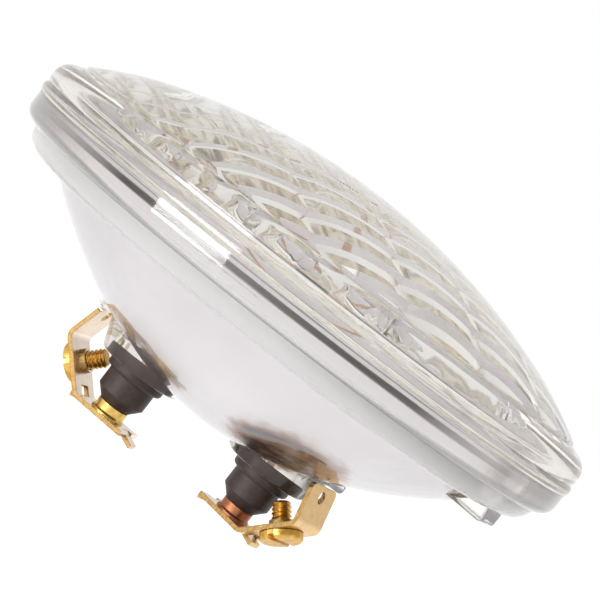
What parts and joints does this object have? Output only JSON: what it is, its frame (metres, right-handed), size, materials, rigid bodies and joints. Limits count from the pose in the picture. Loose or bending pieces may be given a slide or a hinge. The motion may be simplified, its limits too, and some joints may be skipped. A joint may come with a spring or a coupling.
{
  "type": "par spotlight bulb",
  "caption": "Round sealed-beam spotlight bulb: domed fluted glass lens fused to a silvered glass bowl, with bent brass screw terminals at the back.",
  "frame": {"origin": "centre of the seam where the lens is fused to the reflector", "axes": "+Z along the beam, out of the lens; +X through the right-hand terminal"},
  "size_m": [0.1136, 0.1136, 0.0611],
  "materials": {
    "lens_glass": "clear pressed glass",
    "silvered_glass": "pressed glass, silvered inside",
    "dark_metal": "oxidised",
    "brass": "satin stamped",
    "copper": "satin copper",
    "screw_brass": "bright turned",
    "nickel": "drawn wire",
    "tungsten": "coiled wire"
  },
  "bodies": {
    "lamp": {"lens": "lens_glass", "reflector": "silvered_glass", "ferrule_left": "dark_metal", "ferrule_right": "dark_metal", "rivet_left": "brass", "rivet_right": "copper", "terminal_strip_left": "brass", "terminal_strip_right": "brass", "lead_post_left": "nickel", "lead_post_right": "nickel", "filament": "tungsten"},
    "left_screw": {"terminal_screw_left": "screw_brass"},
    "right_screw": {"terminal_screw_right": "screw_brass"}
  },
  "joints": [
    {"name": "left_screw_slide", "type": "slide", "parent": "lamp", "child": "left_screw", "axis": [-0.6769, 0.1563, -0.7193], "range_m": [0, 0.003]},
    {"name": "right_screw_slide", "type": "slide", "parent": "lamp", "child": "right_screw", "axis": [0.5954, -0.3578, -0.7193], "range_m": [0, 0.003]}
  ]
}
